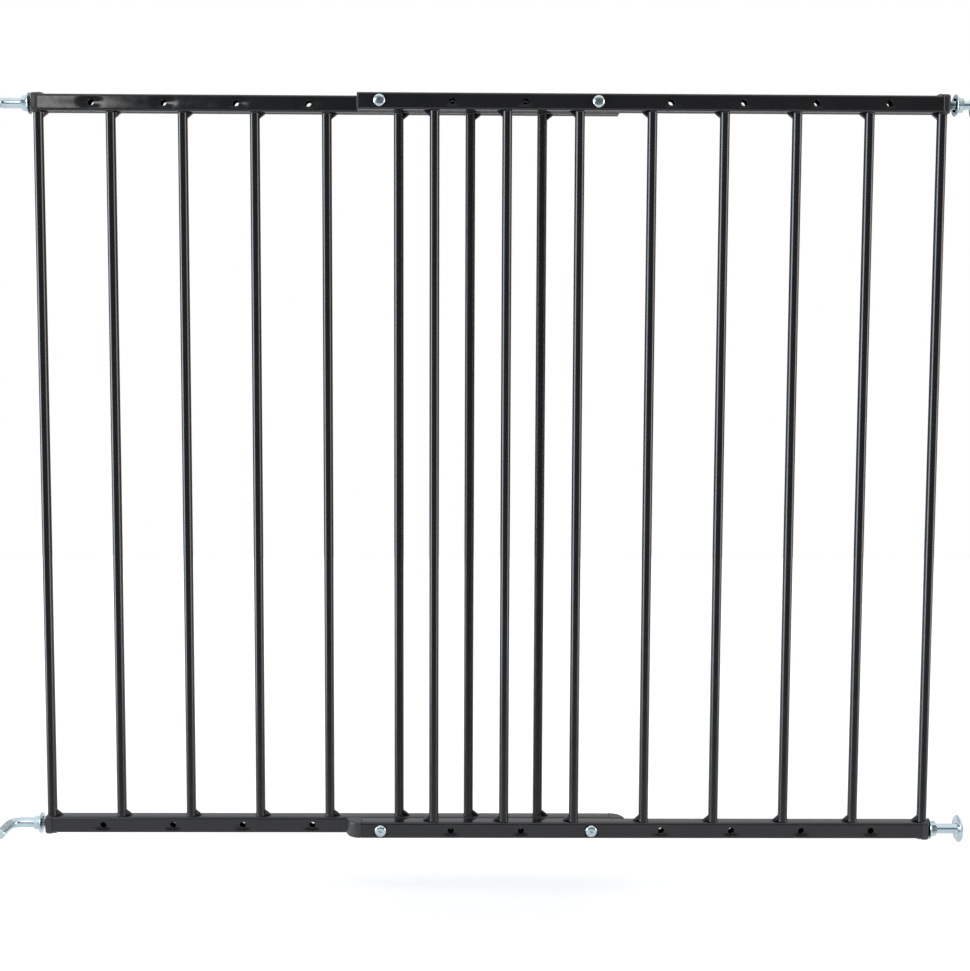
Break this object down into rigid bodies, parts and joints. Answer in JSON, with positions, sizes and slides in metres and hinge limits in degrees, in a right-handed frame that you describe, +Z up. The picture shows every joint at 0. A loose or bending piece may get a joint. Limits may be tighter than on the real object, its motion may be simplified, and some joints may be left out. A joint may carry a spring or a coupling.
{
  "type": "safety baby gate",
  "caption": "Extending swing gate: two sliding panels of upright bars, clamped together, with bent hinge pins on one side and headed latch studs on the other.",
  "frame": {"origin": "where the shank axis of the lower hinge pin meets the axis of its leg, on the gate's hinge line", "axes": "+X from the hinge side to the latch side, +Y from the front panel to the rear panel, +Z up"},
  "size_m": [0.946, 0.0543, 0.73],
  "materials": {
    "powder_coat": "satin black powder coat",
    "plug_plastic": "fine-grained black moulded plastic",
    "zinc_plate": "bright blue-passivated zinc plate",
    "bush_brass": "turned, dull"
  },
  "bodies": {
    "rear_panel": {"rear_bottom_rail": "powder_coat", "rear_bottom_outer_plug": "plug_plastic", "rear_bottom_thread_bush": "bush_brass", "rear_top_rail": "powder_coat", "rear_top_outer_plug": "plug_plastic", "rear_top_thread_bush": "bush_brass", "rear_top_inner_plug": "plug_plastic", "rear_bottom_inner_cap": "plug_plastic", "rear_bar_1": "powder_coat", "rear_bar_2": "powder_coat", "rear_bar_3": "powder_coat", "rear_bar_4": "powder_coat", "rear_bar_5": "powder_coat", "rear_bar_6": "powder_coat", "rear_bar_7": "powder_coat", "rear_bar_8": "powder_coat"},
    "front_panel": {"front_bottom_rail": "powder_coat", "front_bottom_outer_plug": "plug_plastic", "front_bottom_thread_bush": "bush_brass", "front_top_rail": "powder_coat", "front_top_outer_plug": "plug_plastic", "front_top_thread_bush": "bush_brass", "front_top_inner_plug": "plug_plastic", "front_bottom_inner_cap": "plug_plastic", "front_bar_1": "powder_coat", "front_bar_2": "powder_coat", "front_bar_3": "powder_coat", "front_bar_4": "powder_coat", "front_bar_5": "powder_coat", "front_bar_6": "powder_coat", "front_bar_7": "powder_coat", "front_bar_8": "powder_coat"},
    "upper_hinge_pin": {"upper_hinge_pin": "zinc_plate", "upper_hinge_pin_nut": "zinc_plate"},
    "upper_latch_stud": {"upper_latch_stud": "zinc_plate", "upper_latch_stud_nut": "zinc_plate"},
    "lower_hinge_pin": {"lower_hinge_pin": "zinc_plate", "lower_hinge_pin_nut": "zinc_plate"},
    "lower_latch_stud": {"lower_latch_stud": "zinc_plate", "lower_latch_stud_nut": "zinc_plate"},
    "upper_clamp_screw_1": {"upper_clamp_screw_1": "zinc_plate"},
    "upper_clamp_nut_1": {"upper_clamp_nut_1": "zinc_plate"},
    "upper_clamp_screw_2": {"upper_clamp_screw_2": "zinc_plate"},
    "upper_clamp_nut_2": {"upper_clamp_nut_2": "zinc_plate"},
    "lower_clamp_screw_1": {"lower_clamp_screw_1": "zinc_plate"},
    "lower_clamp_nut_1": {"lower_clamp_nut_1": "zinc_plate"},
    "lower_clamp_screw_2": {"lower_clamp_screw_2": "zinc_plate"},
    "lower_clamp_nut_2": {"lower_clamp_nut_2": "zinc_plate"}
  },
  "joints": [
    {"name": "width_adjust", "type": "slide", "parent": "rear_panel", "child": "front_panel", "axis": [1, 0, 0], "range_m": [-0.276, 0.138]},
    {"name": "upper_hinge_pin_turn", "type": "hinge", "parent": "rear_panel", "child": "upper_hinge_pin", "pos_m": [0, 0, 0.704], "axis": [1, 0, 0], "range_deg": [-90, 90]},
    {"name": "lower_hinge_pin_turn", "type": "hinge", "parent": "rear_panel", "child": "lower_hinge_pin", "pos_m": [0, 0, 0], "axis": [1, 0, 0], "range_deg": [-90, 90]},
    {"name": "upper_latch_reach", "type": "slide", "parent": "front_panel", "child": "upper_latch_stud", "axis": [1, 0, 0], "range_m": [-0.0055, 0.008]},
    {"name": "lower_latch_reach", "type": "slide", "parent": "front_panel", "child": "lower_latch_stud", "axis": [1, 0, 0], "range_m": [0, 0.008]},
    {"name": "upper_clamp_screw_1_out", "type": "slide", "parent": "front_panel", "child": "upper_clamp_screw_1", "axis": [0, -1, 0], "range_m": [0, 0.042]},
    {"name": "upper_clamp_nut_1_off", "type": "slide", "parent": "front_panel", "child": "upper_clamp_nut_1", "axis": [0, 1, 0], "range_m": [0, 0.012]},
    {"name": "upper_clamp_screw_2_out", "type": "slide", "parent": "front_panel", "child": "upper_clamp_screw_2", "axis": [0, -1, 0], "range_m": [0, 0.042]},
    {"name": "upper_clamp_nut_2_off", "type": "slide", "parent": "front_panel", "child": "upper_clamp_nut_2", "axis": [0, 1, 0], "range_m": [0, 0.012]},
    {"name": "lower_clamp_screw_1_out", "type": "slide", "parent": "front_panel", "child": "lower_clamp_screw_1", "axis": [0, -1, 0], "range_m": [0, 0.042]},
    {"name": "lower_clamp_nut_1_off", "type": "slide", "parent": "front_panel", "child": "lower_clamp_nut_1", "axis": [0, 1, 0], "range_m": [0, 0.012]},
    {"name": "lower_clamp_screw_2_out", "type": "slide", "parent": "front_panel", "child": "lower_clamp_screw_2", "axis": [0, -1, 0], "range_m": [0, 0.042]},
    {"name": "lower_clamp_nut_2_off", "type": "slide", "parent": "front_panel", "child": "lower_clamp_nut_2", "axis": [0, 1, 0], "range_m": [0, 0.012]}
  ]
}
